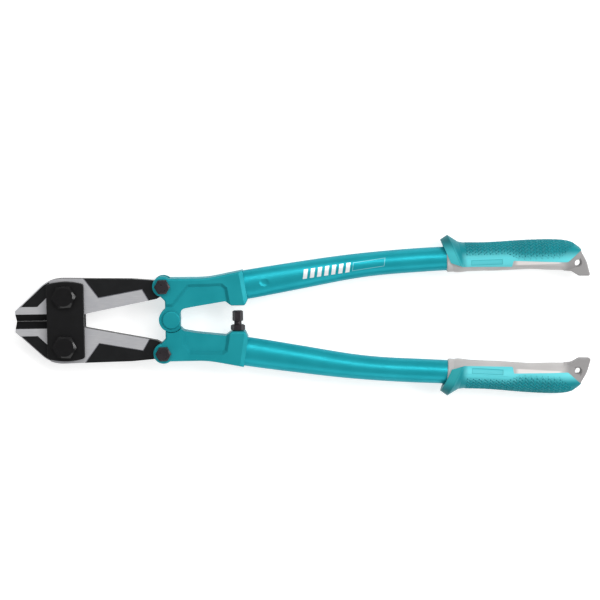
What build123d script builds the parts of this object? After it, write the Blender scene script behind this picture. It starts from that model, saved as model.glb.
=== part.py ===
from build123d import *
from math import atan2, cos, degrees, hypot, radians, sin, tan
import os

# Bolt cutters, 18 inch (450 mm) class. Everything is drawn about the tool's own
# mid-plane (z = 0) with the jaws at -X and the grips at +X, upper half at +Y.
# The lower half is the mirror image of the upper half, apart from the two castings,
# which interlock, the stop screw and the slightly different angles of the two grips.
# export() lifts the tool so that it rests on z = 0.

LENGTH = 460.0
JAW_NUT_BASE = -16.1
LIFT = -JAW_NUT_BASE

# Pivots, upper half
CENTRE_PIVOT = (-105.2, 0.0)
LINK_PIVOT = (-111.7, 26.8)
JAW_PIVOT = (-190.0, 20.0)

# Jaws
JAW_HALF = 5.0
JAW_PANEL_DEPTH = 0.6
JAW_PANEL_SLOPE = 45.0
JAW_GAP = 0.1
JAW_TIP_X = -LENGTH / 2
JAW_NOTCH = 1.0
BEVEL_WIDTH = 5.8
BEVEL_EDGE_HALF = 0.7
BEVEL_END_X = -195.0
JAW_EYE_RADIUS = 7.2
JAW_EYE_BORE = 4.9
JAW_CHAMFER = 0.7

# Side plates
PLATE_CENTRE_X = -189.4
PLATE_HALF_WIDTH = 14.8
PLATE_HALF_HEIGHT = 31.9
PLATE_CORNER_Y = 29.6
PLATE_THICKNESS = 5.0
PLATE_FRONT_CORNER = 1.5
PLATE_BACK_CORNER = 2.2
PLATE_EDGE_ROUND = 0.6
PLATE_CLEARANCE = 0.1

# Jaw bolts and nuts
JAW_BOLT_RADIUS = 6.0
JAW_BOLT_BORE = 6.05
JAW_BOLT_AF = 17.0
JAW_HEAD_HEIGHT = 6.4
JAW_NUT_HEIGHT = 5.0
JAW_HEAD_TURN = 3.0
CORNER_TURN = 1.9

# Castings
CAST_HALF = 10.0
CAST_PANEL_HALF = 7.5
CAST_PANEL_SLOPE = 45.0
CLEVIS_HALF = 5.2
BOSS_RADIUS = 8.2
TONGUE_HALF = 4.0
TONGUE_SLOT_HALF = 4.15
KNUCKLE_RADIUS = 9.9
KNUCKLE_CLEAR = 10.3
WINDOW_END_X = -98.1
WINDOW_CORNER = 5.0
STOP_PAD_Y = 9.9
UPPER_PAD_Y = 10.9
NOTCH_X = -61.9
NOTCH_RISE = 3.4
CLEVIS_CLEAR = 8.7
CAST_ROUND = 1.6

# Centre rivet
RIVET_RADIUS = 4.5
RIVET_BORE = 4.55
RIVET_HEAD_RADIUS = 7.3
RIVET_HEAD_HEIGHT = 1.6
RIVET_HEAD_ROUND = 1.3

# Link bolts and nuts
LINK_BOLT_RADIUS = 3.5
LINK_BOLT_BORE = 3.55
LINK_BOLT_AF = 11.0
LINK_HEAD_HEIGHT = 4.4
LINK_NUT_HEIGHT = 4.4
LINK_TAIL = 0.9
LINK_HEAD_TURN = 0.0

# Stop screw and its lock nut
STOP_X = -52.3
STOP_TOP_Y = 6.2
STOP_HEAD_HEIGHT = 8.6
STOP_HEAD_AF = 7.4
STOP_SHANK_RADIUS = 3.0
STOP_BORE = 3.05
STOP_SHANK_END_Y = -19.0
STOP_BORE_END_Y = -22.5
STOP_NUT_AF = 10.0
STOP_NUT_HEIGHT = 5.0

# Tubes: straight from the casting, one long bend, then a short one into the grip
TUBE_START = (-46.0, 26.8)
TUBE_FRONT_ANGLE = 9.1
TUBE_BEND = ((18.0, 9.1), (80.0, 3.2), (98.0, 3.2))
TUBE_GRIP_X = 117.0
UPPER_GRIP_ANGLE = 1.2
LOWER_GRIP_ANGLE = 4.0
TUBE_RADIUS = 9.6
TUBE_WALL = 1.6
TUBE_END_S = 197.0
TUBE_FRONT_WIDE = 11.65
TUBE_FRONT_THICK = 8.1
DIMPLE_RADIUS = 8.0
DIMPLE_DEPTH = 0.9
DIMPLE_ALONG = 15.5
DIMPLE_ACROSS = -0.5

# Casting tang inside the tube
TANG_WIDE = 9.3
TANG_THICK = 6.2
TANG_LENGTH = 28.0
COLLAR_WIDE = 11.9
COLLAR_SLOPE_LENGTH = 3.2
COLLAR_SLOPE_DROP = 1.5

# Grips, drawn along their own axis: s is measured from the tool's middle
SLEEVE_RADIUS = 10.9
SLEEVE_START = 115.0
SLEEVE_END = 198.5
SLEEVE_BORE = 9.65
GUARD_TILT = 22.0
HANG_HOLE = (219.3, -6.9)
HANG_HOLE_RADIUS = 2.6
HANG_HOLE_CHAMFER = 0.9
END_HALF = 5.0
END_ROUND = 1.2
COVER_PROUD = 0.4
BAND_INSET = 0.9


def tangent_points(before, corner, after, radius):
    """Where a round of the given radius leaves and joins the two straight sides."""
    back = (before[0] - corner[0], before[1] - corner[1])
    ahead = (after[0] - corner[0], after[1] - corner[1])
    back_length = hypot(*back)
    ahead_length = hypot(*ahead)
    u = (back[0] / back_length, back[1] / back_length)
    v = (ahead[0] / ahead_length, ahead[1] / ahead_length)
    half = 0.5 * abs(atan2(u[0] * v[1] - u[1] * v[0], u[0] * v[0] + u[1] * v[1]))
    reach = radius / tan(half)
    start = (corner[0] + u[0] * reach, corner[1] + u[1] * reach)
    end = (corner[0] + v[0] * reach, corner[1] + v[1] * reach)
    middle = ((u[0] + v[0]), (u[1] + v[1]))
    middle_length = hypot(*middle)
    away = radius / sin(half) - radius
    top = (corner[0] + middle[0] / middle_length * away, corner[1] + middle[1] / middle_length * away)
    return start, top, end


def outline(corners):
    """A flat face from (x, y) or (x, y, radius) corners, rounded where a radius is given."""
    count = len(corners)
    stretches = []
    for index, corner in enumerate(corners):
        point = corner[:2]
        if len(corner) == 3:
            before = corners[index - 1][:2]
            after = corners[(index + 1) % count][:2]
            stretches.append(tangent_points(before, point, after, corner[2]))
        else:
            stretches.append((point, None, point))
    edges = []
    for index, (start, top, end) in enumerate(stretches):
        previous_end = stretches[index - 1][2]
        edges.append(Line(previous_end, start))
        if top is not None:
            edges.append(ThreePointArc(start, top, end))
    return make_face(edges)


def slab(face, low, high):
    """A flat face given thickness from z = low to z = high."""
    return extrude(Pos(0, 0, low) * face, high - low)


def disc(centre, radius, low, high):
    """An upright round bar between two heights."""
    return slab(Pos(centre[0], centre[1], 0) * Circle(radius), low, high)


def both_faces(cutter):
    """A cutter on the top face together with the same cutter on the bottom face."""
    return cutter + mirror(cutter, about=Plane.XY)


def round_rims(shape, height, radius):
    """Round every edge that lies in the planes z = height and z = -height."""
    rims = [edge for edge in shape.edges() if abs(abs(edge.center().Z) - height) < 0.01]
    return fillet(rims, radius)


def lower(shape):
    """The mirror image on the lower half of the tool."""
    return mirror(shape, about=Plane.XZ)


def hexagon(across_flats, height, chamfered_base=False):
    """A hexagon bar standing on z = 0, its corners turned off at the top and, if asked, at the base."""
    corner_radius = across_flats / 2 / cos(radians(30))
    inset = (corner_radius - across_flats / 2) * CORNER_TURN
    drop = inset * tan(radians(30))
    bar = extrude(RegularPolygon(corner_radius, 6), height)
    if chamfered_base:
        base = [(0, 0), (corner_radius - inset, 0), (corner_radius, drop)]
    else:
        base = [(0, 0), (corner_radius, 0)]
    top = [(corner_radius, height - drop), (corner_radius - inset, height), (0, height)]
    turned = revolve(Plane.XZ * outline(base + top), Axis.Z)
    return bar & turned


def hex_bolt(centre, head_base, turn, across_flats, head_height, radius, end):
    """A bolt standing on +Z with its head above head_base and its shank down to end."""
    head = Pos(centre[0], centre[1], head_base) * Rot(0, 0, turn) * hexagon(across_flats, head_height)
    shank = disc(centre, radius, end, head_base)
    tip = shank.edges().sort_by(Axis.Z)[0]
    return head + chamfer(tip, 0.6)


def hex_nut(centre, top, turn, across_flats, height, bore):
    """A nut below z = top, chamfered on both faces."""
    nut = Pos(centre[0], centre[1], top - height) * Rot(0, 0, turn) * hexagon(across_flats, height, True)
    return nut - disc(centre, bore, top - height - 1, top + 1)


def grip_frame(s, tilt=0.0):
    """The plane across the grip axis at s, leaning forward on its outer side by tilt."""
    lean = radians(tilt)
    return Plane(origin=(s, 0, 0), x_dir=(-sin(lean), cos(lean), 0), z_dir=(cos(lean), sin(lean), 0))


def grip_section(s, outer, inner, half_thick, tilt=0.0, grow=0.0):
    """An egg-shaped section: outer and inner reach about the tube axis, and thickness."""
    out_arc = EllipticalCenterArc((0, 0), outer + grow, half_thick + grow, -90, arc_size=180)
    in_arc = EllipticalCenterArc((0, 0), inner + grow, half_thick + grow, 90, arc_size=180)
    return grip_frame(s, tilt) * make_face([out_arc, in_arc])


def tube_centre(x, grip_angle):
    """Height of the tube's centre line and its slope in degrees at x."""
    start, slope = TUBE_START[0], tan(radians(TUBE_FRONT_ANGLE))
    height = TUBE_START[1]
    for end, angle in (*TUBE_BEND, (TUBE_GRIP_X, grip_angle)):
        end_slope = tan(radians(angle))
        reach = min(x, end) - start
        slope_here = slope + (end_slope - slope) * reach / (end - start)
        height += reach * (slope + slope_here) / 2
        if x <= end:
            return height, degrees(atan2(slope_here, 1))
        start, slope = end, end_slope
    return height + (x - start) * slope, grip_angle


def tube_section(x, wide, thick, grip_angle):
    """An oval section of the tube, square to its centre line."""
    height, angle = tube_centre(x, grip_angle)
    lean = radians(angle)
    across = Plane(origin=(x, height, 0), x_dir=(-sin(lean), cos(lean), 0), z_dir=(cos(lean), sin(lean), 0))
    return across * Ellipse(wide, thick)


def on_grip(shape, grip_angle):
    """Place a shape drawn along the grip axis, s = 0 at x = 0, onto the tool."""
    joint = tube_centre(TUBE_GRIP_X, grip_angle)[0]
    foot = joint - TUBE_GRIP_X * tan(radians(grip_angle))
    return Pos(0, foot, 0) * Rot(0, 0, grip_angle) * shape


def on_tube_front(shape):
    """Place a shape drawn with +X along the tube, at the tube's front end, onto the tool."""
    return Pos(TUBE_START[0], TUBE_START[1], 0) * Rot(0, 0, TUBE_FRONT_ANGLE) * shape


def make_jaw():
    """The upper jaw: bevelled blade ahead of its pivot and a tapering tail behind it."""
    body = slab(
        outline([
            (JAW_TIP_X + JAW_NOTCH, JAW_GAP),
            (JAW_TIP_X, 8.4, 0.8),
            (-202.0, 34.3, 25.0),
            (-137.0, 33.0, 60.0),
            (-118.0, 31.4),
            (LINK_PIVOT[0], LINK_PIVOT[1]),
            (LINK_PIVOT[0], LINK_PIVOT[1] - JAW_EYE_RADIUS),
            (-116.8, 16.7, 1.5),
            (-172.0, 6.0, 4.0),
            (-193.5, JAW_GAP, 3.0),
        ]),
        -JAW_HALF, JAW_HALF,
    )
    body += disc(LINK_PIVOT, JAW_EYE_RADIUS, -JAW_HALF, JAW_HALF)
    bevel = Plane.YZ * outline([
        (BEVEL_WIDTH, JAW_HALF),
        (JAW_GAP, BEVEL_EDGE_HALF),
        (-1.0, BEVEL_EDGE_HALF),
        (-1.0, JAW_HALF + 1),
        (BEVEL_WIDTH, JAW_HALF + 1),
    ])
    bevel = Pos(JAW_TIP_X - 1, 0, 0) * extrude(bevel, BEVEL_END_X - JAW_TIP_X + 1)
    body -= both_faces(bevel)
    front_panel = outline([
        (-240.0, 11.7), (-212.0, 11.7), (-202.0, 21.3), (-202.0, 40.0), (-240.0, 40.0),
    ])
    tail_panel = outline([
        (-177.5, 38.0), (-163.1, 18.5), (-128.1, 24.8), (-120.8, 12.0), (-100.0, 12.0), (-100.0, 38.0),
    ])
    floor = JAW_HALF - JAW_PANEL_DEPTH
    body -= both_faces(slab(front_panel, floor, JAW_HALF + 1))
    body -= both_faces(extrude(Pos(0, 0, floor) * tail_panel, JAW_PANEL_DEPTH + 1, taper=-JAW_PANEL_SLOPE))
    rims = [
        edge for edge in body.edges()
        if abs(abs(edge.center().Z) - floor) < 0.01
        and -227.0 < edge.center().X < -206.0
        and edge.center().Y > 12.5
        and abs(edge.center().Y - 34.3 - 0.925 * (edge.center().X + 202.0)) < 3.0
    ]
    body = chamfer(rims, JAW_CHAMFER)
    body -= disc(JAW_PIVOT, JAW_BOLT_BORE, -JAW_HALF - 1, JAW_HALF + 1)
    body -= disc(LINK_PIVOT, JAW_EYE_BORE, -JAW_HALF - 1, JAW_HALF + 1)
    return body


def make_side_plate(low, outer_face_up):
    """One of the two plates that hold the jaw bolts, with bowed ends."""
    front = PLATE_CENTRE_X - PLATE_HALF_WIDTH
    back = PLATE_CENTRE_X + PLATE_HALF_WIDTH
    edges = [
        Line((front, -PLATE_CORNER_Y), (front, PLATE_CORNER_Y)),
        ThreePointArc((front, PLATE_CORNER_Y), (PLATE_CENTRE_X, PLATE_HALF_HEIGHT), (back, PLATE_CORNER_Y)),
        Line((back, PLATE_CORNER_Y), (back, -PLATE_CORNER_Y)),
        ThreePointArc((back, -PLATE_CORNER_Y), (PLATE_CENTRE_X, -PLATE_HALF_HEIGHT), (front, -PLATE_CORNER_Y)),
    ]
    face = make_face(edges)
    front_corners = face.vertices().sort_by(Axis.X)[:2]
    face = fillet(front_corners, PLATE_FRONT_CORNER)
    back_corners = face.vertices().filter_by_position(Axis.X, back - 0.1, back + 0.1)
    face = fillet(back_corners, PLATE_BACK_CORNER)
    plate = slab(face, low, low + PLATE_THICKNESS)
    outer_face = plate.faces().sort_by(Axis.Z)[-1 if outer_face_up else 0]
    plate = fillet(outer_face.edges(), PLATE_EDGE_ROUND)
    for side in (1, -1):
        bolt_axis = (JAW_PIVOT[0], side * JAW_PIVOT[1])
        plate -= disc(bolt_axis, JAW_BOLT_BORE, low - 1, low + PLATE_THICKNESS + 1)
    return plate


def casting_outline(pad_y):
    """Plan of a casting on the upper half, from the clevis to the collar."""
    lean = radians(TUBE_FRONT_ANGLE)
    end_x, end_y = TUBE_START
    collar_top = (end_x - COLLAR_WIDE * sin(lean), end_y + COLLAR_WIDE * cos(lean))
    collar_base = (end_x + COLLAR_WIDE * sin(lean), end_y - COLLAR_WIDE * cos(lean))
    return outline([
        (LINK_PIVOT[0], LINK_PIVOT[1]),
        (-106.6, 33.2),
        (-76.5, 33.0, 80.0),
        collar_top,
        collar_base,
        (-46.4, pad_y, 2.0),
        (-57.2, pad_y, 2.0),
        (NOTCH_X, pad_y + NOTCH_RISE, 2.0),
        (-85.0, 10.7, 60.0),
        (WINDOW_END_X, 8.4, WINDOW_CORNER),
        (WINDOW_END_X, 0.0),
        (CENTRE_PIVOT[0], 0.0),
        (-109.9, 8.4),
        (-109.9, 15.2, 2.0),
        (-113.8, 19.2),
    ])


def clevis_slot():
    """The gap between the clevis ears that the jaw tail lies in and swings through."""
    swing = outline([
        (-150.0, 9.1),
        (-117.0, 15.6),
        (-111.5, 18.0),
        (LINK_PIVOT[0], LINK_PIVOT[1]),
        (-105.7, 33.5),
        (-125.0, 54.4),
        (-150.0, 54.4),
    ])
    slot = slab(swing, -CLEVIS_HALF, CLEVIS_HALF)
    return slot + disc(LINK_PIVOT, CLEVIS_CLEAR, -CLEVIS_HALF, CLEVIS_HALF)


def make_casting(panel, pad_y, fork):
    """One handle casting on the upper half: clevis, knuckle, web, collar and tang."""
    body = slab(casting_outline(pad_y), -CAST_HALF, CAST_HALF)
    body += disc(LINK_PIVOT, BOSS_RADIUS, -CAST_HALF, CAST_HALF)
    knuckle = disc(CENTRE_PIVOT, KNUCKLE_RADIUS, -CAST_HALF, CAST_HALF)
    knuckle -= Pos(WINDOW_END_X + KNUCKLE_RADIUS, 0, 0) * Box(2 * KNUCKLE_RADIUS, 40, 40)
    body += knuckle
    body = round_rims(body, CAST_HALF, CAST_ROUND)
    depth = CAST_HALF + 1 - CAST_PANEL_HALF
    body -= both_faces(extrude(Pos(0, 0, CAST_PANEL_HALF) * panel, depth, taper=-CAST_PANEL_SLOPE))
    body -= clevis_slot()
    if fork:
        body -= disc(CENTRE_PIVOT, KNUCKLE_CLEAR, -TONGUE_SLOT_HALF, TONGUE_SLOT_HALF)
    else:
        for low, high in ((TONGUE_HALF, CAST_HALF + 1), (-CAST_HALF - 1, -TONGUE_HALF)):
            body -= disc(CENTRE_PIVOT, KNUCKLE_CLEAR, low, high)
    shoulder = outline([
        (-COLLAR_SLOPE_LENGTH, CAST_HALF), (0.0, CAST_HALF - COLLAR_SLOPE_DROP),
        (5.0, CAST_HALF - COLLAR_SLOPE_DROP), (5.0, CAST_HALF + 5.0), (-COLLAR_SLOPE_LENGTH, CAST_HALF + 5.0),
    ])
    body -= on_tube_front(both_faces(extrude(Plane.XZ * shoulder, 2 * COLLAR_WIDE, both=True)))
    tang = Plane.YZ * Ellipse(TANG_WIDE, TANG_THICK)
    body += on_tube_front(Pos(-2, 0, 0) * extrude(tang, TANG_LENGTH + 2))
    body -= disc(CENTRE_PIVOT, RIVET_BORE, -CAST_HALF - 1, CAST_HALF + 1)
    body -= disc(LINK_PIVOT, LINK_BOLT_BORE, -CAST_HALF - 1, CAST_HALF + 1)
    return body


def make_stop_hole():
    """The tapped hole in the lower casting that takes the stop screw."""
    length = -STOP_PAD_Y + 1 - STOP_BORE_END_Y
    return Pos(STOP_X, STOP_BORE_END_Y, 0) * Rot(-90, 0, 0) * extrude(Circle(STOP_BORE), length)


def make_stop_screw():
    """The stop screw, head up, standing on its lock nut."""
    head_base = STOP_TOP_Y - STOP_HEAD_HEIGHT
    head = hexagon(STOP_HEAD_AF, STOP_HEAD_HEIGHT, True)
    shank = extrude(Circle(STOP_SHANK_RADIUS), head_base - STOP_SHANK_END_Y)
    shank = chamfer(shank.edges().sort_by(Axis.Z)[0], 0.5)
    screw = Pos(0, 0, head_base) * head + Pos(0, 0, STOP_SHANK_END_Y) * shank
    return Pos(STOP_X, 0, 0) * Rot(-90, 0, 0) * screw


def make_stop_nut():
    """The lock nut that clamps the stop screw to the lower casting's pad."""
    nut = hexagon(STOP_NUT_AF, STOP_NUT_HEIGHT, True)
    nut -= Pos(0, 0, -1) * extrude(Circle(STOP_BORE), STOP_NUT_HEIGHT + 2)
    return Pos(STOP_X, -STOP_PAD_Y, 0) * Rot(-90, 0, 0) * nut


def make_rivet():
    """The centre pivot: a plain pin with a low round head on each side."""
    body = disc(CENTRE_PIVOT, RIVET_RADIUS, -CAST_PANEL_HALF, CAST_PANEL_HALF)
    head = disc(CENTRE_PIVOT, RIVET_HEAD_RADIUS, CAST_PANEL_HALF, CAST_PANEL_HALF + RIVET_HEAD_HEIGHT)
    head = fillet(head.edges().sort_by(Axis.Z)[-1], RIVET_HEAD_ROUND)
    return body + both_faces(head)


def make_tube(grip_angle):
    """The handle tube: pressed oval at the casting, round and slightly bent towards the grip."""
    stations = [
        (TUBE_START[0], TUBE_FRONT_WIDE, TUBE_FRONT_THICK),
        (-25.0, 11.45, 8.3),
        (-5.0, 11.05, 8.6),
        (15.0, 10.55, 8.9),
        (35.0, 10.0, 9.3),
        (58.0, TUBE_RADIUS, TUBE_RADIUS),
        (80.0, TUBE_RADIUS, TUBE_RADIUS),
        (98.0, TUBE_RADIUS, TUBE_RADIUS),
        (TUBE_GRIP_X, TUBE_RADIUS, TUBE_RADIUS),
    ]
    skin = loft([tube_section(x, wide, thick, grip_angle) for x, wide, thick in stations])
    wall = TUBE_WALL
    hollow = loft([tube_section(x, wide - wall, thick - wall, grip_angle) for x, wide, thick in stations])
    joint_s = TUBE_GRIP_X / cos(radians(grip_angle))
    straight = extrude(grip_frame(joint_s) * Circle(TUBE_RADIUS), TUBE_END_S - joint_s)
    straight -= extrude(grip_frame(joint_s) * Circle(TUBE_RADIUS - wall), TUBE_END_S - joint_s)
    tube = skin - hollow + on_grip(straight, grip_angle)
    ball_height = TUBE_FRONT_THICK + DIMPLE_RADIUS - DIMPLE_DEPTH
    dimple = Pos(DIMPLE_ALONG, DIMPLE_ACROSS, ball_height) * Sphere(DIMPLE_RADIUS)
    return tube - on_tube_front(dimple)


def grip_body(grow=0.0):
    """The long swelling hand grip without its guard, before it is shared between the two plastics."""
    stations = [
        (119.5, 12.0, 11.0, 11.3),
        (127.0, 12.1, 11.7, 12.8),
        (145.0, 11.5, 11.3, 12.5),
        (165.0, 11.9, 11.4, 12.8),
        (185.0, 12.3, 12.0, 13.2),
        (200.0, 12.0, 13.1, 12.9),
        (209.0, 11.1, 13.6, 11.3),
        (216.5, 8.8, 14.4, 8.6),
        (222.6, 4.0, 15.0, 5.8),
    ]
    return loft([grip_section(s, outer, inner, thick, 0, grow) for s, outer, inner, thick in stations])


def grip_guard():
    """The angular hand guard at the front of the grip, leaning forward on its outer side."""
    rim = grip_section(116.8, 16.6, 11.3, 12.0, GUARD_TILT)
    ridge = grip_section(123.9, 20.4, 11.5, 16.0, GUARD_TILT)
    waist = grip_section(127.2, 13.4, 11.6, 13.4, GUARD_TILT / 2)
    neck = grip_section(131.5, 11.9, 11.6, 12.7)
    return loft([rim, ridge], ruled=True) + loft([ridge, waist, neck], ruled=True)


def core_plan():
    """Plan of the hard plastic that shows on the grip's inner side, in grip coordinates."""
    return outline([
        (110.0, -20.0), (110.0, -0.3), (127.5, -6.6, 2.0), (166.5, -8.0, 1.0), (167.6, -3.0, 1.0),
        (211.0, -5.9, 3.0), (226.5, 6.4), (240.0, 0.0), (240.0, -20.0),
    ])


def inset_plan():
    """Plan of the sunk strip along the inner band, in grip coordinates."""
    return outline([(171.0, -30.0), (171.0, -7.8), (206.0, -8.8), (208.5, -12.0), (208.5, -30.0)])


def hang_hole():
    """The hang hole's cutter, wider at both faces of the flat end."""
    bore = disc(HANG_HOLE, HANG_HOLE_RADIUS, -2 * END_HALF, 2 * END_HALF)
    mouth = Cone(HANG_HOLE_RADIUS, HANG_HOLE_RADIUS + 2 * HANG_HOLE_CHAMFER, 2 * HANG_HOLE_CHAMFER)
    return bore + both_faces(Pos(HANG_HOLE[0], HANG_HOLE[1], END_HALF) * mouth)


def end_plan():
    """Plan of the flat end with its hang hole and its inward corner, in grip coordinates."""
    return outline([
        (203.0, -7.0), (210.0, -7.0), (222.2, 2.6, 1.5), (226.6, -6.0, 22.0), (229.3, -17.7, 1.3),
        (220.0, -17.3, 3.0), (214.6, -13.7, 4.0), (203.0, -10.0),
    ])


def make_grip_core():
    """The hard inner grip: sleeve on the tube, inner band and flat end."""
    sleeve = extrude(grip_frame(SLEEVE_START) * Circle(SLEEVE_RADIUS), SLEEVE_END - SLEEVE_START)
    sleeve = chamfer(sleeve.edges().sort_by(Axis.X)[0], 0.8)
    band = grip_body(-COVER_PROUD) & slab(core_plan() - inset_plan(), -30, 30)
    band += grip_body(-BAND_INSET) & slab(core_plan() & inset_plan(), -30, 30)
    end = round_rims(slab(end_plan(), -END_HALF, END_HALF), END_HALF, END_ROUND)
    core = sleeve + band + end
    core -= extrude(grip_frame(SLEEVE_START - 1) * Circle(SLEEVE_BORE), TUBE_END_S - SLEEVE_START + 2)
    return core - hang_hole()


def make_grip_cover():
    """The soft outer grip over the core, with its guard and a framed blank panel."""
    cover = grip_guard() + grip_body()
    panel = slab(outline([(129.5, -6.6), (163.5, -6.6), (163.5, -0.4), (129.5, -0.4)]), 0, 30)
    field = slab(outline([(134.0, -5.6), (159.0, -5.6), (159.0, -1.4), (134.0, -1.4)]), 0, 30)
    cover += grip_body(COVER_PROUD) & (panel - field)
    cover -= extrude(grip_frame(SLEEVE_START - 20) * Circle(SLEEVE_RADIUS), SLEEVE_END - SLEEVE_START + 20)
    cover -= slab(core_plan(), -40, 40)
    cover -= slab(end_plan(), -END_HALF, END_HALF)
    return cover


def export(name, shape):
    """Write one node, lifted so that the whole tool rests on z = 0."""
    lifted = Pos(0, 0, LIFT) * shape
    lifted.label = name
    export_step(lifted, f"parts/{name}.step")


def main():
    os.makedirs("parts", exist_ok=True)
    plate_low = JAW_HALF + PLATE_CLEARANCE
    plate_top = plate_low + PLATE_THICKNESS
    export("front_side_plate", make_side_plate(plate_low, True))
    export("back_side_plate", make_side_plate(-plate_top, False))

    fork_panel = outline([
        (-120.0, 9.9), (-103.7, 10.4), (-90.7, 25.9), (-65.2, 26.5), (-62.4, 24.1), (-59.2, 5.0),
        (-59.2, -14.0), (-120.0, -14.0),
    ])
    tongue_panel = outline([
        (-103.8, -2.0), (-92.7, 11.5), (-93.7, 19.1, 2.0), (-90.1, 25.2), (-65.2, 25.9), (-63.0, 24.6),
        (-58.5, -2.0),
    ])
    export("upper_handle_casting", make_casting(fork_panel, UPPER_PAD_Y, True))
    export("lower_handle_casting", lower(make_casting(tongue_panel, STOP_PAD_Y, False)) - make_stop_hole())
    export("centre_pivot_rivet", make_rivet())
    export("stop_screw", make_stop_screw())
    export("stop_lock_nut", make_stop_nut())

    halves = {
        "jaw": make_jaw(),
        "jaw_bolt": hex_bolt(
            JAW_PIVOT, plate_top, JAW_HEAD_TURN, JAW_BOLT_AF, JAW_HEAD_HEIGHT, JAW_BOLT_RADIUS, JAW_NUT_BASE
        ),
        "jaw_nut": hex_nut(JAW_PIVOT, -plate_top, JAW_HEAD_TURN, JAW_BOLT_AF, JAW_NUT_HEIGHT, JAW_BOLT_BORE),
        "link_bolt": hex_bolt(
            LINK_PIVOT, CAST_HALF, LINK_HEAD_TURN, LINK_BOLT_AF, LINK_HEAD_HEIGHT, LINK_BOLT_RADIUS,
            -CAST_HALF - LINK_NUT_HEIGHT - LINK_TAIL,
        ),
        "link_nut": hex_nut(
            LINK_PIVOT, -CAST_HALF, LINK_HEAD_TURN, LINK_BOLT_AF, LINK_NUT_HEIGHT, LINK_BOLT_BORE
        ),
    }
    for name, shape in halves.items():
        export(f"upper_{name}", shape)
        export(f"lower_{name}", lower(shape))

    core = make_grip_core()
    cover = make_grip_cover()
    export("upper_handle_tube", make_tube(UPPER_GRIP_ANGLE))
    export("lower_handle_tube", Rot(180, 0, 0) * make_tube(LOWER_GRIP_ANGLE))
    for name, shape in (("grip_core", core), ("grip_cover", cover)):
        export(f"upper_{name}", on_grip(shape, UPPER_GRIP_ANGLE))
        export(f"lower_{name}", lower(on_grip(shape, LOWER_GRIP_ANGLE)))


main()
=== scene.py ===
"""Bolt cutters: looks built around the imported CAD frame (metres, +X to the grips, +Z up)."""
import math

import bmesh
import bpy
from mathutils import Matrix, Vector
from mathutils.bvhtree import BVHTree


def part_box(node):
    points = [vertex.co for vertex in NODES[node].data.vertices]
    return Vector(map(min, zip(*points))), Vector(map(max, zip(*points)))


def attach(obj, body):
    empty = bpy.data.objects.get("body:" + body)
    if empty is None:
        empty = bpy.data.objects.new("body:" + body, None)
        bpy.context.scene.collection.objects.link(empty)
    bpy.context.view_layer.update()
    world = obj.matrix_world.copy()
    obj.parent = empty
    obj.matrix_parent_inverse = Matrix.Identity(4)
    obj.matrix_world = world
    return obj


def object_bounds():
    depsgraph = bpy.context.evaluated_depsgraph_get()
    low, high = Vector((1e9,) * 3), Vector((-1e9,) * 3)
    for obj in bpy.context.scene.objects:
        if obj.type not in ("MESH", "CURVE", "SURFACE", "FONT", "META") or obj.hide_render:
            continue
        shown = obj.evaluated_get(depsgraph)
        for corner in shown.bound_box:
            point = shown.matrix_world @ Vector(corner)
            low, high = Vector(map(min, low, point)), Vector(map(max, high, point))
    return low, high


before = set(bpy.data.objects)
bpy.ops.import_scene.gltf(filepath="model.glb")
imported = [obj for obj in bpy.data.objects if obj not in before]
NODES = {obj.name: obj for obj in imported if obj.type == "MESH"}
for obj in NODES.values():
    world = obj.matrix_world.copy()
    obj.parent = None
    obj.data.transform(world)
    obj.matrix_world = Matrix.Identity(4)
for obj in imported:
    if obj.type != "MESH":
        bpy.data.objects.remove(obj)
CAD_BOX = [list(corner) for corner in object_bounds()]
MID_Z = (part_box("upper_jaw")[0][2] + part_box("upper_jaw")[1][2]) / 2
MM = 0.001


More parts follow.
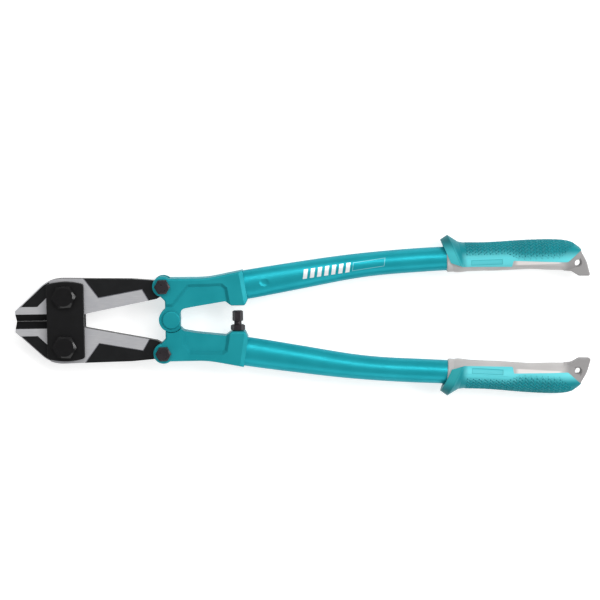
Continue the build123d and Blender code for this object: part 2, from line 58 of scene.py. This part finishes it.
# ---------------------------------------------------------------- material tools
class Maker:
    """A small helper for building one material's nodes in code."""

    def __init__(self, name):
        self.material = bpy.data.materials.new(name)
        self.material.use_nodes = True
        self.tree = self.material.node_tree
        self.shader = self.tree.nodes["Principled BSDF"]
        self.coord = self.add("ShaderNodeTexCoord").outputs["Object"]

    def add(self, kind, **settings):
        node = self.tree.nodes.new(kind)
        for key, value in settings.items():
            setattr(node, key, value)
        return node

    def link(self, source, target):
        self.tree.links.new(source, target)

    def put(self, socket, value):
        """Links value if it is a socket, otherwise sets it as the socket's own value."""
        if isinstance(value, bpy.types.NodeSocket):
            self.link(value, socket)
        else:
            socket.default_value = value

    def math(self, operation, a, b=0.0):
        node = self.add("ShaderNodeMath", operation=operation)
        self.put(node.inputs[0], a)
        self.put(node.inputs[1], b)
        return node.outputs[0]

    def both(self, a, b):
        """The product of two masks."""
        return self.math("MULTIPLY", a, b)

    def outside(self, mask):
        """The reverse of a mask."""
        return self.math("SUBTRACT", 1.0, mask)

    def ramp(self, value, low, high):
        """0 below low, 1 above high, smooth between."""
        node = self.add("ShaderNodeMapRange", interpolation_type="SMOOTHSTEP", clamp=True)
        self.put(node.inputs["Value"], value)
        self.put(node.inputs["From Min"], low)
        self.put(node.inputs["From Max"], high)
        return node.outputs["Result"]

    def band(self, value, low, high, soft=0.06 * MM):
        """1 between low and high, 0 outside, with a narrow soft edge."""
        rise = self.ramp(value, low - soft, low + soft)
        fall = self.ramp(value, high - soft, high + soft)
        return self.math("SUBTRACT", rise, fall)

    def remap(self, value, low, high, new_low, new_high):
        """Value carried over from one range to another, and kept inside it."""
        node = self.add("ShaderNodeMapRange", clamp=True)
        names = ("Value", "From Min", "From Max", "To Min", "To Max")
        for name, item in zip(names, (value, low, high, new_low, new_high)):
            self.put(node.inputs[name], item)
        return node.outputs["Result"]

    def stretch(self, scale, turn):
        """Object coordinates scaled along each axis, then turned."""
        node = self.add("ShaderNodeMapping")
        self.link(self.coord, node.inputs["Vector"])
        node.inputs["Scale"].default_value = scale
        node.inputs["Rotation"].default_value = turn
        return node.outputs["Vector"]

    def noise(self, scale, detail=3.0, rough=0.55, vector=None):
        node = self.add("ShaderNodeTexNoise")
        self.link(vector or self.coord, node.inputs["Vector"])
        node.inputs["Scale"].default_value = scale
        node.inputs["Detail"].default_value = detail
        node.inputs["Roughness"].default_value = rough
        return node.outputs["Fac"]

    def axes(self):
        """The piece's own X, Y and Z as separate values."""
        node = self.add("ShaderNodeSeparateXYZ")
        self.link(self.coord, node.inputs[0])
        return node.outputs

    def normal_z(self):
        """How far the face looks along the tool's own Z axis, without sign."""
        normal = self.add("ShaderNodeTexCoord").outputs["Normal"]
        node = self.add("ShaderNodeSeparateXYZ")
        self.link(normal, node.inputs[0])
        return self.math("ABSOLUTE", node.outputs["Z"])

    def front(self):
        """1 on the front half of the tool, 0 on its back half."""
        return self.math("GREATER_THAN", self.axes()["Z"], MID_Z)

    def mix(self, factor, a, b):
        """Colour a where factor is 0, colour b where it is 1."""
        node = self.add("ShaderNodeMix", data_type="RGBA")
        self.put(node.inputs[0], factor)
        for socket, value in ((node.inputs[6], a), (node.inputs[7], b)):
            if isinstance(value, tuple):
                socket.default_value = (*value, 1.0)
            else:
                self.link(value, socket)
        return node.outputs[2]

    def mottle(self, noise, spread, dark, light):
        """Two colours mixed by a noise, over the part of its range within spread of the middle."""
        return self.mix(self.remap(noise, 0.5 - spread, 0.5 + spread, 0.0, 1.0), dark, light)

    def uneven(self, noise, roughness, amount=1.0):
        """Roughness that a noise moves a little down and a little more up."""
        return self.remap(noise, 0.3, 0.7, roughness - 0.06 * amount, roughness + 0.08 * amount)

    def bump(self, height, distance, strength, normal=None):
        node = self.add("ShaderNodeBump")
        self.put(node.inputs["Height"], height)
        node.inputs["Distance"].default_value = distance
        node.inputs["Strength"].default_value = strength
        if normal is not None:
            self.link(normal, node.inputs["Normal"])
        return node.outputs["Normal"]

    def surface(self, **values):
        """Sets or links the shader's inputs and gives the finished material."""
        for key, value in values.items():
            socket = self.shader.inputs[key.replace("_", " ")]
            if isinstance(value, tuple) and len(value) == 3:
                value = (*value, 1.0)
            self.put(socket, value)
        return self.material


def srgb(red, green, blue):
    """Linear colour from 0-255 display values."""
    out = []
    for value in (red, green, blue):
        value /= 255.0
        out.append(value / 12.92 if value <= 0.04045 else ((value + 0.055) / 1.055) ** 2.4)
    return tuple(out)


# ---------------------------------------------------------------- paint, metal and plastic
# Each noise is its scale per metre, its detail and its roughness.
ENAMEL_CLOUD = (40.0, 3.0, 0.5)
ENAMEL_HAZE = (90.0, 3.0, 0.55)
ENAMEL_PEEL = (130.0, 2.0, 0.4)
ENAMEL_GRAIN = (900.0, 2.0, 0.5)
METAL_CLOUD = (120.0, 5.0, 0.65)
PLASTIC_CLOUD = (45.0, 3.0, 0.5)
NARROW_SPREAD = 0.15
WIDE_SPREAD = 0.2
PEEL_DEPTH = 0.10 * MM
GRAIN_DEPTH = 0.01 * MM
PIT_DEPTH = 0.03 * MM
# Colour of the enamel's reflections at grazing angles.
EDGE_TINT = (0.06, 0.42, 0.5)


def enamel(name, base, light, metallic, roughness, coat, mark=None):
    """Satin metallic enamel: slight cloudiness and orange peel under a thin clear coat."""
    m = Maker(name)
    colour = m.mottle(m.noise(*ENAMEL_CLOUD), NARROW_SPREAD, base, light)
    if mark is not None:
        colour = mark(m, colour)
    peel = m.bump(m.noise(*ENAMEL_PEEL), PEEL_DEPTH, 0.25)
    fine = m.bump(m.noise(*ENAMEL_GRAIN), GRAIN_DEPTH, 0.3, peel)
    return m.surface(
        Base_Color=colour,
        Roughness=m.uneven(m.noise(*ENAMEL_HAZE), roughness, 0.5),
        Normal=fine,
        Metallic=metallic,
        Coat_Weight=coat,
        Coat_Roughness=0.25,
        Specular_IOR_Level=0.3,
        Specular_Tint=EDGE_TINT,
    )


def black_metal(name, dark, light, roughness, grain, gloss):
    """Blackened or black painted steel with a fine mottled grain."""
    m = Maker(name)
    speck = m.noise(grain, 3.0, 0.6)
    return m.surface(
        Base_Color=m.mottle(m.noise(*METAL_CLOUD), WIDE_SPREAD, dark, light),
        Roughness=m.uneven(speck, roughness),
        Metallic=0.2,
        Normal=m.bump(speck, PIT_DEPTH, 0.4),
        Specular_IOR_Level=gloss,
    )


def plastic(name, dark, light, roughness, grain, zone=None):
    """Moulded plastic: fine spark-eroded texture and slight colour drift."""
    m = Maker(name)
    colour = m.mottle(m.noise(*PLASTIC_CLOUD), NARROW_SPREAD, dark, light)
    # A zone can paint highlights and shade into the colour.
    if zone is not None:
        colour = zone(m, colour)
    pits = m.noise(grain, 3.0, 0.6)
    return m.surface(
        Base_Color=colour,
        Roughness=m.uneven(pits, roughness),
        Normal=m.bump(pits, PIT_DEPTH, 0.4),
        Specular_IOR_Level=0.22,
    )


# ---------------------------------------------------------------- jaws
# Heights are from the jaws' middle plane, and sides from the tool's centre line.
FACE_HEIGHT = (4.78 * MM, 4.86 * MM)
FACE_FACING = (0.93, 0.97)
CHAMFER_SIDE = (11.8 * MM, 12.2 * MM)
CHAMFER_BACK = -200.0 * MM
SLOPE_FACING = ((0.45, 0.6), (0.8, 0.9))
# Sloped walls of the tail's recess within this height band get a painted highlight: grey mixed over the
# black paint, at the strength on the next line.
WALL_HEIGHT = (4.4 * MM, 5.0 * MM)
WALL_HIGHLIGHT_AMOUNT = 0.8
TAIL_FRONT = -182.0 * MM
BLADE_SIDE = 6.0 * MM
BLADE_BACK = -190.0 * MM
STEEL = (srgb(176, 176, 178), srgb(196, 196, 198))
COOL_STEEL = srgb(158, 160, 170)
JAW_BLACK = (srgb(8, 9, 11), srgb(16, 17, 19))
BLADE_BLACK = srgb(9, 9, 11)
# Colour of the painted highlight on the recess walls.
WALL_HIGHLIGHT_GREY = srgb(120, 120, 126)
JAW_ROUGHNESS = {"paint": 0.45, "steel": 0.38, "blade": 0.9}
BARE_METALLIC = 0.3
GRIND_LINES = (900.0, 4.0, 0.7)
GRIND_STRETCH = (0.12, 2.4, 1.0)
GRIND_ANGLE = 0.35
STEEL_CLOUD = (60.0, 4.0, 0.6)
STEEL_CLOUD_AMOUNT = 0.35
PAINT_CLOUD = (160.0, 4.0, 0.55)
JAW_GRAIN = (600.0, 3.0, 0.55)
JAW_GRAIN_DEPTH = 0.02 * MM


def jaw_metal(name):
    """Ground bright steel on the raised faces and front chamfers, black paint elsewhere, and a painted
    highlight in grey on the sloped walls of the tail's recess.
    """
    m = Maker(name)
    axes = m.axes()
    facing = m.normal_z()
    height = m.math("ABSOLUTE", m.math("SUBTRACT", axes["Z"], MID_Z))
    side = m.math("ABSOLUTE", axes["Y"])
    sloped = m.both(m.ramp(facing, *SLOPE_FACING[0]), m.outside(m.ramp(facing, *SLOPE_FACING[1])))
    face = m.both(m.ramp(height, *FACE_HEIGHT), m.ramp(facing, *FACE_FACING))
    tip = m.both(m.ramp(side, *CHAMFER_SIDE), m.math("LESS_THAN", axes["X"], CHAMFER_BACK))
    bare = m.math("MAXIMUM", face, m.both(tip, sloped))
    blade = m.both(m.math("LESS_THAN", side, BLADE_SIDE), m.math("LESS_THAN", axes["X"], BLADE_BACK))
    tail = m.math("GREATER_THAN", axes["X"], TAIL_FRONT)
    # Mask of the painted highlight on the sloped walls of the tail's recess.
    wall_highlight = m.both(m.both(sloped, m.band(height, *WALL_HEIGHT)), tail)

    lines = m.noise(*GRIND_LINES, m.stretch(GRIND_STRETCH, (0.0, 0.0, GRIND_ANGLE)))
    cloud = m.remap(m.noise(*STEEL_CLOUD), 0.35, 0.7, 0.0, STEEL_CLOUD_AMOUNT)
    steel = m.mix(cloud, m.mottle(lines, WIDE_SPREAD, *STEEL), COOL_STEEL)
    paint = m.mix(blade, m.mottle(m.noise(*PAINT_CLOUD), WIDE_SPREAD, *JAW_BLACK), BLADE_BLACK)
    colour = m.mix(m.math("MULTIPLY", wall_highlight, WALL_HIGHLIGHT_AMOUNT), m.mix(bare, paint, steel), WALL_HIGHLIGHT_GREY)
    rough = {part: (value,) * 3 for part, value in JAW_ROUGHNESS.items()}
    grain = m.bump(lines, JAW_GRAIN_DEPTH, 0.3)
    return m.surface(
        Base_Color=colour,
        Roughness=m.mix(blade, m.mix(bare, rough["paint"], rough["steel"]), rough["blade"]),
        Metallic=m.math("MULTIPLY", bare, BARE_METALLIC),
        Normal=m.bump(m.noise(*JAW_GRAIN), JAW_GRAIN_DEPTH, 0.3, grain),
        Specular_IOR_Level=0.25,
    )


# ---------------------------------------------------------------- printed mark on the upper tube
MARK_START = Vector((0.7 * MM, 35.0 * MM))
MARK_SLOPE = math.radians(7.9)
MARK_SLANT = math.tan(math.radians(16.0))
MARK_HALF_HEIGHT = 3.7 * MM
MARK_WHITE = srgb(240, 245, 246)
BAR_COUNT = 7
BAR_PITCH = 5.7 * MM
BAR_WIDTH = 3.3 * MM
FRAME_SPAN = (39.6 * MM, 65.5 * MM)
FRAME_HALF_HEIGHT = 3.3 * MM
FRAME_LINE = 0.45 * MM
FRAME_STRENGTH = 0.55
FRAME_COLOUR = srgb(160, 220, 228)


def box_line(m, u, v, u_span, v_span, line):
    """Masks of a rectangle's outline and of what is inside it."""
    masks = []
    for inset in (0.0, line):
        length = m.band(u, u_span[0] + inset, u_span[1] - inset)
        width = m.band(v, v_span[0] + inset, v_span[1] - inset)
        masks.append(m.both(length, width))
    outer, inner = masks
    return m.math("SUBTRACT", outer, inner), inner


def printed_mark(m, paint):
    """A blank printed mark on the tube's front: slanted white bars and a faint empty frame."""
    axes = m.axes()
    x = m.math("SUBTRACT", axes["X"], MARK_START.x)
    y = m.math("SUBTRACT", axes["Y"], MARK_START.y)
    cos_slope = math.cos(MARK_SLOPE)
    sin_slope = math.sin(MARK_SLOPE)
    along = m.math("ADD", m.math("MULTIPLY", x, cos_slope), m.math("MULTIPLY", y, sin_slope))
    across = m.math("SUBTRACT", m.math("MULTIPLY", y, cos_slope), m.math("MULTIPLY", x, sin_slope))
    leaning = m.math("SUBTRACT", along, m.math("MULTIPLY", across, MARK_SLANT))
    bars = 0.0
    for bar in range(BAR_COUNT):
        start = bar * BAR_PITCH
        bars = m.math("ADD", bars, m.band(leaning, start, start + BAR_WIDTH))
    rows = m.both(m.band(across, -MARK_HALF_HEIGHT, MARK_HALF_HEIGHT), m.front())
    heights = (-FRAME_HALF_HEIGHT, FRAME_HALF_HEIGHT)
    rim, _ = box_line(m, leaning, across, FRAME_SPAN, heights, FRAME_LINE)
    rim = m.math("MULTIPLY", m.both(rim, m.front()), FRAME_STRENGTH)
    return m.mix(m.both(bars, rows), m.mix(rim, paint, FRAME_COLOUR), MARK_WHITE)


# ---------------------------------------------------------------- grips: axis and zones
RING_WIDTH = 1.5 * MM


def ring_centre(node, low_x, high_x):
    """Middle of a node's slice between two X values."""
    points = [vertex.co for vertex in NODES[node].data.vertices if low_x <= vertex.co.x <= high_x]
    return Vector([(min(axis) + max(axis)) / 2 for axis in zip(*points)])


class Grip:
    """One hand grip's own axes: s along it, outward across it, front towards +Z."""

    def __init__(self, half):
        self.half = half
        core = f"{half}_grip_core"
        tube = f"{half}_handle_tube"
        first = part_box(core)[0][0]
        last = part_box(tube)[1][0]
        start = ring_centre(core, first, first + RING_WIDTH)
        end = ring_centre(tube, last - RING_WIDTH, last)
        self.along = (end - start).normalized()
        away = 1.0 if half == "upper" else -1.0
        self.outward = Vector((-self.along.y, self.along.x, 0.0)) * away
        self.foot = Vector((start.x, start.y, MID_Z)) - self.along * (start.x / self.along.x)

    def point(self, s):
        """The point of the grip's axis at s."""
        return self.foot + self.along * s

    def coordinates(self, m):
        """Shader values for s and for the reach outward from the grip's axis."""
        axes = m.axes()
        x = m.math("SUBTRACT", axes["X"], self.foot.x)
        y = m.math("SUBTRACT", axes["Y"], self.foot.y)
        s = m.math("ADD", m.math("MULTIPLY", x, self.along.x), m.math("MULTIPLY", y, self.along.y))
        out = m.math("ADD", m.math("MULTIPLY", x, self.outward.x), m.math("MULTIPLY", y, self.outward.y))
        return s, out


GRIPS = {half: Grip(half) for half in ("upper", "lower")}

# Distances along the grip's axis (s) and outward from it, for the zones of the two plastics: painted
# highlights and painted shade, and a blank field on the pad.
PAD_END = 168.0 * MM
# Painted highlight: a brighter teal on the inner side beside the grey, fading outward, with its edge
# shifted near the pad's end.
INNER_FADE = (-1.5 * MM, 7.0 * MM)
INNER_SHIFT = 3.2 * MM
INNER_SHIFT_SPAN = (PAD_END - 6.0 * MM, PAD_END + 10.0 * MM)
HIGHLIGHT_TEAL = srgb(96, 205, 213)
GUARD_BACK = 126.0 * MM
GUARD_FADE = (GUARD_BACK - 4.0 * MM, GUARD_BACK)
PAST_GUARD = (GUARD_BACK - 1.0 * MM, GUARD_BACK + 6.0 * MM)
GUARD_LEAN = math.tan(math.radians(22.0))
# Painted light and shade on the guard: a lighter teal on the upper grip and a darker one on the lower,
# darkening outward to the tip colour.
GUARD_LIT_AND_SHADED_TEAL = {"upper": srgb(74, 194, 202), "lower": srgb(48, 164, 170)}
GUARD_TIP_SHADE_TEAL = srgb(10, 108, 115)
GUARD_SHADE = (4.0 * MM, 15.0 * MM)
FIELD_SPAN = (134.0 * MM, 159.0 * MM)
FIELD_REACH = (-5.6 * MM, -1.4 * MM)
FIELD_LINE = 0.5 * MM
FIELD_LINE_SHADE = 0.75
FIELD_SHADE = 0.3
FIELD_TEAL = srgb(48, 160, 170)
# Painted shade: a darker grey on the flat end beyond the hand, fading in from the end's start.
END_START = 205.0 * MM
END_FADE = (END_START, END_START + 8.0 * MM)
END_SHADE_GREY = srgb(143, 141, 141)
# Painted highlight: a pale lip along the grey beside the soft cover, on the front only.
LIP_START = PAD_END + 2.0 * MM
LIP_SOFTNESS = 2.0 * MM
LIP_FADE = (-7.2 * MM, -6.2 * MM)
LIP_HIGHLIGHT_GREY = srgb(222, 216, 214)


def teal_light_and_field_zones(grip):
    """Painted highlight of brighter teal beside the grey, painted light and shade on the guard, and a
    faint blank field on the pad.
    """
    def paint_zone(m, dark):
        s, out = grip.coordinates(m)
        shift = m.math("MULTIPLY", m.ramp(s, *INNER_SHIFT_SPAN), INNER_SHIFT)
        # Where the painted highlight of brighter teal lies: the inner side, past the guard.
        inner = m.outside(m.ramp(m.math("ADD", out, shift), *INNER_FADE))
        body = m.mix(m.both(inner, m.ramp(s, *PAST_GUARD)), dark, HIGHLIGHT_TEAL)
        leaning = m.math("ADD", s, m.math("MULTIPLY", out, GUARD_LEAN))
        # The guard's painted light and shade.
        guard_light_and_shade = m.mix(m.ramp(out, *GUARD_SHADE), GUARD_LIT_AND_SHADED_TEAL[grip.half], GUARD_TIP_SHADE_TEAL)
        body = m.mix(m.outside(m.ramp(leaning, *GUARD_FADE)), body, guard_light_and_shade)
        line, field = box_line(m, s, out, FIELD_SPAN, FIELD_REACH, FIELD_LINE)
        line = m.math("MULTIPLY", line, FIELD_LINE_SHADE)
        field = m.math("MULTIPLY", field, FIELD_SHADE)
        return m.mix(m.both(m.math("ADD", line, field), m.front()), body, FIELD_TEAL)
    return paint_zone


def grey_light_and_shade_zones(grip):
    """A painted highlight as a pale lip beside the soft cover, and painted shade as a darker grey on the
    flat end beyond the hand.
    """
    def paint_zone(m, grey):
        s, out = grip.coordinates(m)
        # Mask of the painted highlight along the lip.
        lip_highlight = m.both(m.band(s, LIP_START, END_START, LIP_SOFTNESS), m.ramp(out, *LIP_FADE))
        grey = m.mix(m.both(lip_highlight, m.front()), grey, LIP_HIGHLIGHT_GREY)
        # Painted shade on the flat end.
        return m.mix(m.ramp(s, *END_FADE), grey, END_SHADE_GREY)
    return paint_zone


# ---------------------------------------------------------------- materials of the CAD nodes
CASTING_TEAL = (srgb(29, 142, 152), srgb(35, 150, 160))
TUBE_TEAL = (srgb(28, 153, 166), srgb(34, 160, 173))
TUBE_FINISH = {"metallic": 0.45, "roughness": 0.38, "coat": 0.05}
PLATE_BLACK = (srgb(8, 8, 9), srgb(13, 13, 15))
BOLT_BLACK = (srgb(8, 8, 9), srgb(14, 13, 15))
BRONZE = (srgb(40, 36, 40), srgb(50, 46, 50))
GRIP_TEAL = (srgb(4, 124, 133), srgb(8, 134, 143))
# Darker teal for the knurl's valley floors and root: painted shade in the grooves.
GROOVE_SHADE_TEAL = (srgb(6, 100, 110), srgb(10, 108, 118))
GRIP_GREY = (srgb(178, 175, 174), srgb(188, 185, 184))

MATERIALS = {
    "casting": enamel("casting_teal_enamel", *CASTING_TEAL, metallic=0.28, roughness=0.44, coat=0.05),
    "tube": enamel("tube_teal_enamel", *TUBE_TEAL, **TUBE_FINISH),
    "marked_tube": enamel("marked_tube_teal_enamel", *TUBE_TEAL, **TUBE_FINISH, mark=printed_mark),
    "jaw": jaw_metal("jaw_ground_and_black"),
    "plate": black_metal("plate_satin_black", *PLATE_BLACK, roughness=0.42, grain=700.0, gloss=0.3),
    "bolt": black_metal("bolt_black_oxide", *BOLT_BLACK, roughness=0.2, grain=260.0, gloss=0.4),
    "small_bolt": black_metal("link_bolt_dark_bronze", *BRONZE, roughness=0.3, grain=260.0, gloss=0.3),
    "shaded_groove": plastic("grip_knurl_floor_painted_shade", *GROOVE_SHADE_TEAL, roughness=0.6, grain=1100.0),
}
for half, grip in GRIPS.items():
    MATERIALS[f"{half}_soft"] = plastic(
        f"{half}_grip_teal_plastic", *GRIP_TEAL, roughness=0.42, grain=1100.0, zone=teal_light_and_field_zones(grip)
    )
    MATERIALS[f"{half}_grey"] = plastic(
        f"{half}_grip_grey_plastic", *GRIP_GREY, roughness=0.5, grain=900.0, zone=grey_light_and_shade_zones(grip)
    )
FINISH = (
    ("side_plate", "plate"),
    ("jaw_bolt", "bolt"),
    ("jaw_nut", "bolt"),
    ("link_", "small_bolt"),
    ("stop_", "small_bolt"),
    ("casting", "casting"),
    ("rivet", "casting"),
    ("upper_handle_tube", "marked_tube"),
    ("lower_handle_tube", "tube"),
    ("upper_grip_core", "upper_grey"),
    ("lower_grip_core", "lower_grey"),
    ("upper_grip_cover", "upper_soft"),
    ("lower_grip_cover", "lower_soft"),
    ("_jaw", "jaw"),
)


def finish_of(node):
    """The material for a CAD node, from the first matching word in its name."""
    return next(MATERIALS[finish] for word, finish in FINISH if word in node)


for node_name, node_object in NODES.items():
    for slot in node_object.material_slots:
        slot.material = finish_of(node_name)


# ---------------------------------------------------------------- knurl on the soft grips
KNURL_START = 128.5 * MM
KNURL_END = 219.0 * MM
KNURL_STEP = 2.3 * MM
KNURL_SWING = 1.0 * MM
KNURL_PITCH = 2.8 * MM
KNURL_RADIUS = 12.3 * MM
KNURL_REACH = math.radians(80.0)
KNURL_FULL_REACH = math.radians(102.0)
KNURL_WIDENS = PAD_END - 4.0 * MM
KNURL_WIDENING = 8.0 * MM
KNURL_NARROWS = 206.0 * MM
KNURL_END_REACH = math.radians(30.0)
RIDGE_HALF = 0.32
RIDGE_HEIGHT = 0.5 * MM
FLOOR_HEIGHT = 0.03 * MM
ROOT_DEPTH = 0.35 * MM
RAY_START = 40.0 * MM
# One ridge: place across it in pitches, and height over the cover.
RIDGE_PROFILE = (
    (-0.5, FLOOR_HEIGHT),
    (-RIDGE_HALF, FLOOR_HEIGHT),
    (0.0, RIDGE_HEIGHT),
    (RIDGE_HALF, FLOOR_HEIGHT),
)
FLOOR_STRIPS = (0, 3)


def knurl_reach(s):
    """How far round from the outward line the knurl reaches at s."""
    widening = min(1.0, max(0.0, (s - KNURL_WIDENS) / KNURL_WIDENING))
    narrowing = max(0.0, (s - KNURL_NARROWS) / (KNURL_END - KNURL_NARROWS))
    reach = KNURL_REACH + (KNURL_FULL_REACH - KNURL_REACH) * widening
    return reach + (KNURL_END_REACH - reach) * narrowing


def knurl_rows():
    """Arc length from the middle and height over the cover, for each row of the knurl."""
    ridges = int(2 * KNURL_FULL_REACH * KNURL_RADIUS / KNURL_PITCH)
    middle = (ridges - 1) / 2
    rows = []
    for ridge in range(ridges):
        rows += [((ridge + place - middle) * KNURL_PITCH, lift) for place, lift in RIDGE_PROFILE]
    rows.append(((ridges - 0.5 - middle) * KNURL_PITCH, FLOOR_HEIGHT))
    return rows


def knurl_columns(mesh, grip, cover):
    """Vertices of the knurl's top and of its root inside the cover, column by column."""
    rows = knurl_rows()
    columns = int((KNURL_END - KNURL_START) / KNURL_STEP)
    top = []
    root = []
    for column in range(columns + 1):
        s = KNURL_START + column * KNURL_STEP
        swing = KNURL_SWING if column % 2 else -KNURL_SWING
        reach = knurl_reach(s)
        top.append([])
        root.append([])
        for index, (arc, lift) in enumerate(rows):
            at_side = index in (0, len(rows) - 1)
            angle = (arc + (0.0 if at_side else swing)) / KNURL_RADIUS
            at_rim = at_side or abs(angle) >= reach or column in (0, columns)
            angle = min(reach, max(-reach, angle))
            ray = grip.outward * math.cos(angle) + Vector((0.0, 0.0, math.sin(angle)))
            hit, normal, _, _ = cover.ray_cast(grip.point(s) + ray * RAY_START, -ray)
            if normal.dot(ray) < 0:
                normal = -normal
            height = -FLOOR_HEIGHT if at_rim else lift
            top[-1].append(mesh.verts.new(hit + normal * height))
            root[-1].append(mesh.verts.new(hit - normal * ROOT_DEPTH))
    return top, root


def close_skin(mesh, top, root):
    """Faces of the knurl's top and root, and the rim that joins them all round."""
    last_column = len(top) - 1
    last_row = len(top[0]) - 1
    for column in range(last_column):
        for row in range(last_row):
            corners = ((column, row), (column + 1, row), (column + 1, row + 1), (column, row + 1))
            face = mesh.faces.new([top[i][j] for i, j in corners])
            # Valley floor strips take the darker groove teal, as painted shade in the grooves; the root
            # takes it too.
            face.material_index = int(row % len(RIDGE_PROFILE) in FLOOR_STRIPS)
            mesh.faces.new([root[i][j] for i, j in reversed(corners)]).material_index = 1
    rim = [(i, 0) for i in range(last_column)]
    rim += [(last_column, j) for j in range(last_row)]
    rim += [(i, last_row) for i in range(last_column, 0, -1)]
    rim += [(0, j) for j in range(last_row, 0, -1)]
    for (i, j), (next_i, next_j) in zip(rim, rim[1:] + rim[:1]):
        mesh.faces.new((top[i][j], root[i][j], root[next_i][next_j], top[next_i][next_j]))
    bmesh.ops.recalc_face_normals(mesh, faces=mesh.faces)


def knurl_patch(grip):
    """Zigzag ridges wrapped round the grip's outer side, as one closed skin."""
    cover = NODES[f"{grip.half}_grip_cover"].data
    surface = BVHTree.FromPolygons(
        [vertex.co for vertex in cover.vertices], [polygon.vertices for polygon in cover.polygons]
    )
    mesh = bmesh.new()
    close_skin(mesh, *knurl_columns(mesh, grip, surface))
    data = bpy.data.meshes.new(f"{grip.half}_grip_knurl")
    mesh.to_mesh(data)
    mesh.free()
    data.materials.append(MATERIALS[f"{grip.half}_soft"])
    data.materials.append(MATERIALS["shaded_groove"])
    patch = bpy.data.objects.new(f"{grip.half}_grip_knurl", data)
    bpy.context.scene.collection.objects.link(patch)
    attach(patch, f"{grip.half}_handle")


for grip in GRIPS.values():
    knurl_patch(grip)


# ---------------------------------------------------------------- camera
VIEW_WIDTH = 480.0 * MM
DISTANCE = 1.8
TILT = math.radians(5.0)
ROLL = math.radians(0.84)
AIM = Vector((-2.3 * MM, 13.8 * MM, MID_Z))
SENSOR = 36.0
NEAREST = 0.05
FARTHEST = 20.0


def add_camera():
    """A long lens over the tool's front, leaning slightly towards +Y and rolled a little."""
    data = bpy.data.cameras.new("camera")
    data.sensor_width = SENSOR
    data.lens = SENSOR * DISTANCE / VIEW_WIDTH
    data.clip_start = NEAREST
    data.clip_end = FARTHEST
    camera = bpy.data.objects.new("camera", data)
    bpy.context.scene.collection.objects.link(camera)
    back = Vector((0.0, math.sin(TILT), math.cos(TILT)))
    level_right = Vector((1.0, 0.0, 0.0))
    level_up = back.cross(level_right)
    right = level_right * math.cos(ROLL) - level_up * math.sin(ROLL)
    up = level_right * math.sin(ROLL) + level_up * math.cos(ROLL)
    place = Matrix((right, up, back)).transposed().to_4x4()
    place.translation = AIM + back * DISTANCE
    camera.matrix_world = place
    bpy.context.scene.camera = camera


add_camera()


# ---------------------------------------------------------------- light and floor
# Name, place, aim, width and height in metres, and power in watts.
LIGHTS = (
    ("key", (0.3, 0.75, 1.5), (0.0, 0.0, 0.0), (2.6, 0.42), 20.0),
    ("corner", (1.245, 0.136, 1.1), (-0.19, 0.0, 0.0), (1.0, 0.2), 8.0),
    ("fill", (0.2, -1.9, 1.1), (0.0, 0.0, 0.0), (2.6, 1.2), 14.0),
)
SKY_STRENGTH = {"towards -Y": 0.26, "towards +Y": 0.52}
FLOOR_HALF = 6.0
FLOOR_WHITE = ((0.58, 0.58, 0.58), (0.61, 0.61, 0.61))
FLOOR_GLOW = 0.62


def add_light(name, place, aim, size, power):
    """A rectangular soft light that looks at its aim."""
    data = bpy.data.lights.new(name, "AREA")
    data.shape = "RECTANGLE"
    data.size, data.size_y = size
    data.energy = power
    light = bpy.data.objects.new(name, data)
    light.location = place
    light.rotation_euler = (Vector(aim) - Vector(place)).to_track_quat("-Z", "Y").to_euler()
    bpy.context.scene.collection.objects.link(light)


def add_world():
    """A white studio surround, stronger on the tool's upper side."""
    world = bpy.data.worlds.new("studio")
    world.use_nodes = True
    tree = world.node_tree
    direction = tree.nodes.new("ShaderNodeTexCoord").outputs["Generated"]
    split = tree.nodes.new("ShaderNodeSeparateXYZ")
    tree.links.new(direction, split.inputs[0])
    strength = tree.nodes.new("ShaderNodeMapRange")
    strength.inputs["From Min"].default_value = -1.0
    strength.inputs["To Min"].default_value = SKY_STRENGTH["towards -Y"]
    strength.inputs["To Max"].default_value = SKY_STRENGTH["towards +Y"]
    tree.links.new(split.outputs["Y"], strength.inputs["Value"])
    background = tree.nodes["Background"]
    background.inputs["Color"].default_value = (1.0, 1.0, 1.0, 1.0)
    tree.links.new(strength.outputs["Result"], background.inputs["Strength"])
    bpy.context.scene.world = world


def add_floor():
    """A plain pale floor under the tool, slightly self-lit so that it stays near white."""
    mesh = bpy.data.meshes.new("floor")
    signs = ((-1, -1), (1, -1), (1, 1), (-1, 1))
    corners = [(x * FLOOR_HALF, y * FLOOR_HALF, 0.0) for x, y in signs]
    mesh.from_pydata(corners, [], [(0, 1, 2, 3)])
    floor = bpy.data.objects.new("floor", mesh)
    floor.location.z = CAD_BOX[0][2]
    bpy.context.scene.collection.objects.link(floor)
    m = Maker("floor_white")
    mesh.materials.append(
        m.surface(
            Base_Color=m.mix(m.noise(3.0), *FLOOR_WHITE),
            Roughness=0.9,
            Specular_IOR_Level=0.1,
            Emission_Color=(1.0, 1.0, 1.0),
            Emission_Strength=FLOOR_GLOW,
        )
    )


for light in LIGHTS:
    add_light(*light)
add_world()
add_floor()
bpy.context.scene.view_settings.view_transform = "Standard"
